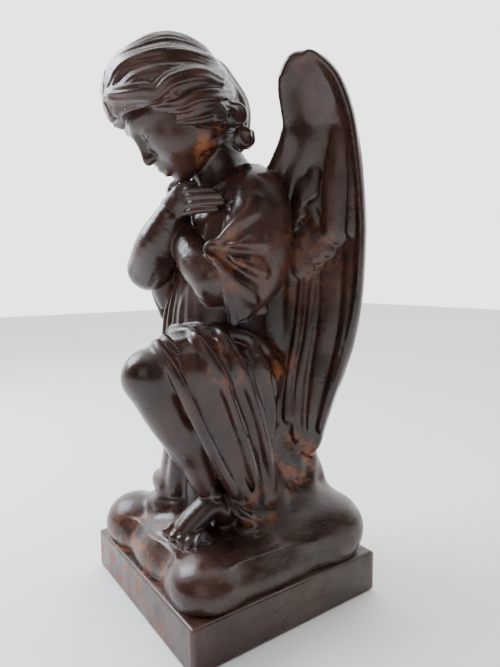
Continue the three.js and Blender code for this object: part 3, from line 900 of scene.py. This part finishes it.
def material():
    """Glossy dark brown paint over cast stone, worn to rust orange in places and dull low down."""
    m = bpy.data.materials.new("bronzed_stone")
    m.use_nodes = True
    nodes, links = m.node_tree.nodes, m.node_tree.links
    shader = nodes["Principled BSDF"]
    place = nodes.new("ShaderNodeTexCoord").outputs["Object"]

    def put(value, socket):
        if isinstance(value, (int, float)):
            socket.default_value = value
        elif isinstance(value, tuple):
            socket.default_value = (*value, 1) if len(socket.default_value) == 4 else value
        else:
            links.new(value, socket)

    def noise(scale, detail=4.0, rough=0.6, stretch=None):
        n = nodes.new("ShaderNodeTexNoise")
        put(scale, n.inputs["Scale"])
        put(detail, n.inputs["Detail"])
        put(rough, n.inputs["Roughness"])
        if stretch:
            grow = nodes.new("ShaderNodeVectorMath")
            grow.operation = "MULTIPLY"
            put(place, grow.inputs[0])
            put(stretch, grow.inputs[1])
            put(grow.outputs[0], n.inputs["Vector"])
        else:
            put(place, n.inputs["Vector"])
        return n.outputs["Fac"]

    def math(kind, *values):
        n = nodes.new("ShaderNodeMath")
        n.operation = kind
        for value, socket in zip(values, n.inputs):
            put(value, socket)
        return n.outputs[0]

    def ease(value, low, high, start=0.0, end=1.0):
        n = nodes.new("ShaderNodeMapRange")
        n.interpolation_type = "SMOOTHSTEP"
        names = ("Value", "From Min", "From Max", "To Min", "To Max")
        for v, name in zip((value, low, high, start, end), names):
            put(v, n.inputs[name])
        return n.outputs[0]

    def mix(share, a, b):
        n = nodes.new("ShaderNodeMix")
        n.data_type = "RGBA"
        put(share, n.inputs[0])
        put(a, n.inputs[6])
        put(b, n.inputs[7])
        return n.outputs[2]

    def near(centre, radius):
        n = nodes.new("ShaderNodeVectorMath")
        n.operation = "DISTANCE"
        put(place, n.inputs[0])
        put(tuple(c * MM for c in centre), n.inputs[1])
        return ease(n.outputs["Value"], radius * MM, radius * 0.3 * MM)

    pointed = nodes.new("ShaderNodeNewGeometry").outputs["Pointiness"]
    axis = nodes.new("ShaderNodeSeparateXYZ")
    put(place, axis.inputs[0])
    fine, patchy, grain = noise(60, 6), noise(11, 7, 0.65), noise(300, 3)

    colour = mix(ease(patchy, 0.35, 0.65), (0.016, 0.0070, 0.0055), (0.047, 0.0195, 0.0135))
    streaks = noise(9, 5, 0.6, (3.0, 3.0, 0.7))
    colour = mix(ease(streaks, 0.52, 0.72, 0, 0.5), colour, (0.080, 0.029, 0.019))
    # rubbed ridges are lighter from wear; the hollows get painted shade, near black
    ridge = ease(math("ADD", pointed, math("MULTIPLY", fine, 0.03)), 0.525, 0.60, 0, 0.75)
    colour = mix(ridge, colour, (0.13, 0.066, 0.045))
    # painted shade: concave places are darkened to near black
    colour = mix(ease(pointed, 0.485, 0.44, 0, 0.8), colour, (0.008, 0.005, 0.0045))
    # rust orange where the paint is worn through
    worn = None
    for centre, radius, strength in WORN:
        spot = math("MULTIPLY", near(centre, radius), strength)
        worn = spot if worn is None else math("MAXIMUM", worn, spot)
    rust = math("MULTIPLY", worn, ease(noise(42, 6, 0.7), 0.47, 0.60))
    rust = math("MAXIMUM", rust, math("MULTIPLY", ease(noise(26, 8, 0.72), 0.66, 0.74), 0.35))
    colour = mix(rust, colour, (0.24, 0.075, 0.024))
    # the base is grey and dull with dust on the angel's left and behind
    low = ease(axis.outputs["Z"], 0.19, 0.09)
    behind = math("ADD", axis.outputs["X"], axis.outputs["Y"])
    side = math("MULTIPLY", low, ease(behind, 0.02, 0.16))
    dust = math("MULTIPLY", side, ease(noise(24, 6, 0.7, (1, 1, 3)), 0.35, 0.68))
    colour = mix(math("MULTIPLY", dust, 0.55), colour, (0.105, 0.085, 0.068))
    put(colour, shader.inputs["Base Color"])

    rough = ease(noise(34, 5, 0.6, (1, 1, 0.6)), 0.35, 0.68, 0.2, 0.42)
    rough = math("ADD", rough, math("MULTIPLY", math("MAXIMUM", dust, rust), 0.3))
    put(rough, shader.inputs["Roughness"])
    put(0.38, shader.inputs["Specular IOR Level"])
    put(0.2, shader.inputs["Coat Weight"])
    put(0.16, shader.inputs["Coat Roughness"])

    bump = nodes.new("ShaderNodeBump")
    put(0.35, bump.inputs["Strength"])
    put(0.0016, bump.inputs["Distance"])
    brush = noise(70, 4, 0.6, (1, 1, 2.2))
    height = math("ADD", math("MULTIPLY", brush, 0.8), math("MULTIPLY", grain, 0.35))
    height = math("ADD", height, math("MULTIPLY", patchy, 1.2))
    put(height, bump.inputs["Height"])
    put(bump.outputs["Normal"], shader.inputs["Normal"])
    return m


# where the paint is worn: centre, radius, how much
WORN = [
    ((34, -58, 622), 34, 0.9),
    ((60, -40, 650), 22, 0.7),
    ((88, 30, 340), 42, 0.8),
    ((92, -60, 350), 50, 0.45),
    ((96, -50, 480), 52, 0.55),
    ((84, 60, 190), 62, 0.9),
    ((76, -8, 140), 44, 0.7),
    ((-20, -150, 20), 150, 0.8),
    ((-110, -150, 20), 110, 0.8),
    ((90, 60, 480), 90, 0.3),
]

angel.data.materials.append(material())
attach(angel, "root")
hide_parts("kneeling_angel")

# ---------------------------------------------------------------- floor, light and camera

bpy.ops.mesh.primitive_plane_add(size=12, location=(0, 0, 0))
floor = bpy.context.object
floor.name = "floor"
pale = bpy.data.materials.new("floor_white")
pale.use_nodes = True
pale.node_tree.nodes["Principled BSDF"].inputs["Base Color"].default_value = (0.88, 0.88, 0.88, 1)
pale.node_tree.nodes["Principled BSDF"].inputs["Roughness"].default_value = 0.9
floor.data.materials.append(pale)

world = bpy.data.worlds.new("studio")
world.use_nodes = True
tree = world.node_tree
# a bright backdrop beyond the statue and a dimmer room on this side
direction = tree.nodes.new("ShaderNodeTexCoord")
facing = tree.nodes.new("ShaderNodeVectorMath")
facing.operation = "DOT_PRODUCT"
facing.inputs[1].default_value = (-0.72, 0.50, 0.48)
tree.links.new(direction.outputs["Generated"], facing.inputs[0])
glow = tree.nodes.new("ShaderNodeMapRange")
glow.interpolation_type = "SMOOTHSTEP"
for name, value in (("From Min", -0.1), ("From Max", 0.75), ("To Min", 0.13), ("To Max", 3.0)):
    glow.inputs[name].default_value = value
tree.links.new(facing.outputs["Value"], glow.inputs["Value"])
tree.nodes["Background"].inputs["Color"].default_value = (1, 1, 1, 1)
tree.links.new(glow.outputs[0], tree.nodes["Background"].inputs["Strength"])
bpy.context.scene.world = world


def area_light(name, place, aim, size, power, colour):
    light = bpy.data.lights.new(name, "AREA")
    light.size = size
    light.energy = power
    light.color = colour
    lamp = bpy.data.objects.new(name, light)
    lamp.location = place
    lamp.rotation_euler = (Vector(aim) - Vector(place)).to_track_quat("-Z", "Y").to_euler()
    bpy.context.collection.objects.link(lamp)


area_light("sky_left", (-1.25, -1.0, 1.7), (0, 0, 0.4), 1.3, 70, (0.82, 0.88, 1.0))
area_light("room", (1.6, -1.9, 1.4), (0, 0, 0.35), 1.6, 10, (1.0, 0.93, 0.86))

CAMERA_PLACE = (0.6423, -0.4119, 0.4592)
CAMERA_LENS = 526.1 * 36 / 667
azimuth, pitch, roll = radians(54.9), radians(6.3), radians(-0.5)

camera_data = bpy.data.cameras.new("camera")
camera_data.sensor_width = 36
camera_data.lens = CAMERA_LENS
camera = bpy.data.objects.new("camera", camera_data)
forward = Vector((-sin(azimuth) * cos(pitch), cos(azimuth) * cos(pitch), -sin(pitch)))
level = Vector((cos(azimuth), sin(azimuth), 0))
upright = level.cross(forward)
right = cos(roll) * level + sin(roll) * upright
top = -sin(roll) * level + cos(roll) * upright
facing_out = Matrix((right, top, -forward)).transposed().to_4x4()
camera.matrix_world = Matrix.Translation(CAMERA_PLACE) @ facing_out
bpy.context.collection.objects.link(camera)
bpy.context.scene.camera = camera
